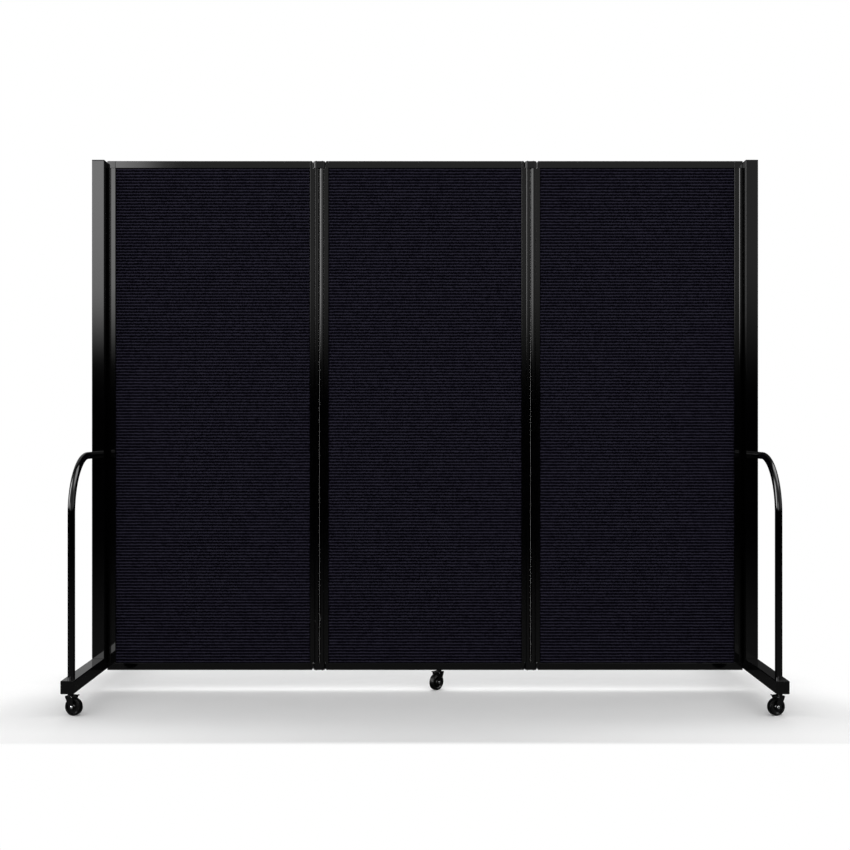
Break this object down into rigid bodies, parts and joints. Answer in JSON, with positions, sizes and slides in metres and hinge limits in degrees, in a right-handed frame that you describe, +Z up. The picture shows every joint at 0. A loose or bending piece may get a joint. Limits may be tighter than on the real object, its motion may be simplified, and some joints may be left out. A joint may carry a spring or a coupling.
{
  "type": "ward privacy screen",
  "caption": "Folding room divider with ribbed cloth panels in a glossy black frame, end posts on cross feet with bent support tubes, double-pivot link hinges and braked swivel casters.",
  "frame": {"origin": "on the floor, under the middle of the centre panel", "axes": "+Z up, +X along the screen to the right seen from the front, -Y towards the front"},
  "size_m": [2.16, 0.756, 1.733],
  "materials": {
    "frame_enamel": "gloss",
    "post_enamel": "gloss",
    "tube_enamel": "gloss",
    "rod_steel": "satin",
    "bright_steel": "polished",
    "black_plastic": "satin",
    "wheel_tread": "satin",
    "ribbed_cloth": "matte",
    "core_board": "matte"
  },
  "bodies": {
    "centre_panel": {"centre_left_stile": "frame_enamel", "centre_right_stile": "frame_enamel", "centre_top_rail": "frame_enamel", "centre_bottom_rail": "frame_enamel", "centre_board": "core_board", "centre_fabric": "ribbed_cloth"},
    "left_link": {"left_top_link": "frame_enamel", "left_bottom_link": "frame_enamel", "left_inner_rod": "rod_steel", "left_outer_rod": "rod_steel"},
    "left_wing": {"left_inner_stile": "frame_enamel", "left_outer_stile": "frame_enamel", "left_top_rail": "frame_enamel", "left_bottom_rail": "frame_enamel", "left_top_bracket": "black_plastic", "left_bottom_bracket": "black_plastic", "left_board": "core_board", "left_fabric": "ribbed_cloth", "left_post": "post_enamel", "left_post_cap": "black_plastic", "left_leg": "post_enamel", "left_front_hoop": "tube_enamel", "left_rear_hoop": "tube_enamel"},
    "right_link": {"right_top_link": "frame_enamel", "right_bottom_link": "frame_enamel", "right_inner_rod": "rod_steel", "right_outer_rod": "rod_steel"},
    "right_wing": {"right_inner_stile": "frame_enamel", "right_outer_stile": "frame_enamel", "right_top_rail": "frame_enamel", "right_bottom_rail": "frame_enamel", "right_top_bracket": "black_plastic", "right_bottom_bracket": "black_plastic", "right_board": "core_board", "right_fabric": "ribbed_cloth", "right_post": "post_enamel", "right_post_cap": "black_plastic", "right_leg": "post_enamel", "right_front_hoop": "tube_enamel", "right_rear_hoop": "tube_enamel"},
    "centre_fork": {"centre_caster_fork": "black_plastic", "centre_caster_axle": "bright_steel"},
    "centre_wheel": {"centre_caster_wheel": "wheel_tread"},
    "centre_pedal": {"centre_brake_pedal": "black_plastic"},
    "left_front_fork": {"left_front_caster_fork": "black_plastic", "left_front_caster_axle": "bright_steel"},
    "left_front_wheel": {"left_front_caster_wheel": "wheel_tread"},
    "left_front_pedal": {"left_front_brake_pedal": "black_plastic"},
    "left_rear_fork": {"left_rear_caster_fork": "black_plastic", "left_rear_caster_axle": "bright_steel"},
    "left_rear_wheel": {"left_rear_caster_wheel": "wheel_tread"},
    "left_rear_pedal": {"left_rear_brake_pedal": "black_plastic"},
    "right_front_fork": {"right_front_caster_fork": "black_plastic", "right_front_caster_axle": "bright_steel"},
    "right_front_wheel": {"right_front_caster_wheel": "wheel_tread"},
    "right_front_pedal": {"right_front_brake_pedal": "black_plastic"},
    "right_rear_fork": {"right_rear_caster_fork": "black_plastic", "right_rear_caster_axle": "bright_steel"},
    "right_rear_wheel": {"right_rear_caster_wheel": "wheel_tread"},
    "right_rear_pedal": {"right_rear_brake_pedal": "black_plastic"}
  },
  "joints": [
    {"name": "left_inner_pivot", "type": "hinge", "parent": "centre_panel", "child": "left_link", "pos_m": [-0.33597, 0, 0.9], "axis": [0, 0, 1], "range_deg": [-90, 90]},
    {"name": "left_outer_pivot", "type": "hinge", "parent": "left_link", "child": "left_wing", "pos_m": [-0.35657, 0, 0.9], "axis": [0, 0, 1], "range_deg": [-90, 90]},
    {"name": "right_inner_pivot", "type": "hinge", "parent": "centre_panel", "child": "right_link", "pos_m": [0.33597, 0, 0.9], "axis": [0, 0, 1], "range_deg": [-90, 90]},
    {"name": "right_outer_pivot", "type": "hinge", "parent": "right_link", "child": "right_wing", "pos_m": [0.35657, 0, 0.9], "axis": [0, 0, 1], "range_deg": [-90, 90]},
    {"name": "centre_swivel", "type": "hinge", "parent": "centre_panel", "child": "centre_fork", "pos_m": [0.046, 0, 0.06], "axis": [0, 0, 1], "continuous": true},
    {"name": "centre_wheel_spin", "type": "hinge", "parent": "centre_fork", "child": "centre_wheel", "pos_m": [0.0373, -0.00966, 0.02578], "axis": [0.7431, -0.6691, 0], "continuous": true},
    {"name": "centre_brake", "type": "hinge", "parent": "centre_fork", "child": "centre_pedal", "pos_m": [0.03777, -0.00914, 0.05578], "axis": [0.7431, -0.6691, 0], "range_deg": [0, 8]},
    {"name": "left_front_swivel", "type": "hinge", "parent": "left_wing", "child": "left_front_fork", "pos_m": [-1.06, -0.346, 0.064], "axis": [0, 0, 1], "continuous": true},
    {"name": "left_front_wheel_spin", "type": "hinge", "parent": "left_front_fork", "child": "left_front_wheel", "pos_m": [-1.04764, -0.35002, 0.02578], "axis": [0.309, 0.9511, 0], "continuous": true},
    {"name": "left_front_brake", "type": "hinge", "parent": "left_front_fork", "child": "left_front_pedal", "pos_m": [-1.0483, -0.3498, 0.05578], "axis": [0.309, 0.9511, 0], "range_deg": [0, 8]},
    {"name": "left_rear_swivel", "type": "hinge", "parent": "left_wing", "child": "left_rear_fork", "pos_m": [-1.06, 0.346, 0.064], "axis": [0, 0, 1], "continuous": true},
    {"name": "left_rear_wheel_spin", "type": "hinge", "parent": "left_rear_fork", "child": "left_rear_wheel", "pos_m": [-1.04764, 0.35002, 0.02578], "axis": [-0.309, 0.9511, 0], "continuous": true},
    {"name": "left_rear_brake", "type": "hinge", "parent": "left_rear_fork", "child": "left_rear_pedal", "pos_m": [-1.0483, 0.3498, 0.05578], "axis": [-0.309, 0.9511, 0], "range_deg": [0, 8]},
    {"name": "right_front_swivel", "type": "hinge", "parent": "right_wing", "child": "right_front_fork", "pos_m": [1.06, -0.346, 0.064], "axis": [0, 0, 1], "continuous": true},
    {"name": "right_front_wheel_spin", "type": "hinge", "parent": "right_front_fork", "child": "right_front_wheel", "pos_m": [1.04764, -0.35002, 0.02578], "axis": [0.309, -0.9511, 0], "continuous": true},
    {"name": "right_front_brake", "type": "hinge", "parent": "right_front_fork", "child": "right_front_pedal", "pos_m": [1.0483, -0.3498, 0.05578], "axis": [0.309, -0.9511, 0], "range_deg": [0, 8]},
    {"name": "right_rear_swivel", "type": "hinge", "parent": "right_wing", "child": "right_rear_fork", "pos_m": [1.06, 0.346, 0.064], "axis": [0, 0, 1], "continuous": true},
    {"name": "right_rear_wheel_spin", "type": "hinge", "parent": "right_rear_fork", "child": "right_rear_wheel", "pos_m": [1.04764, 0.35002, 0.02578], "axis": [-0.309, -0.9511, 0], "continuous": true},
    {"name": "right_rear_brake", "type": "hinge", "parent": "right_rear_fork", "child": "right_rear_pedal", "pos_m": [1.0483, 0.3498, 0.05578], "axis": [-0.309, -0.9511, 0], "range_deg": [0, 8]}
  ]
}
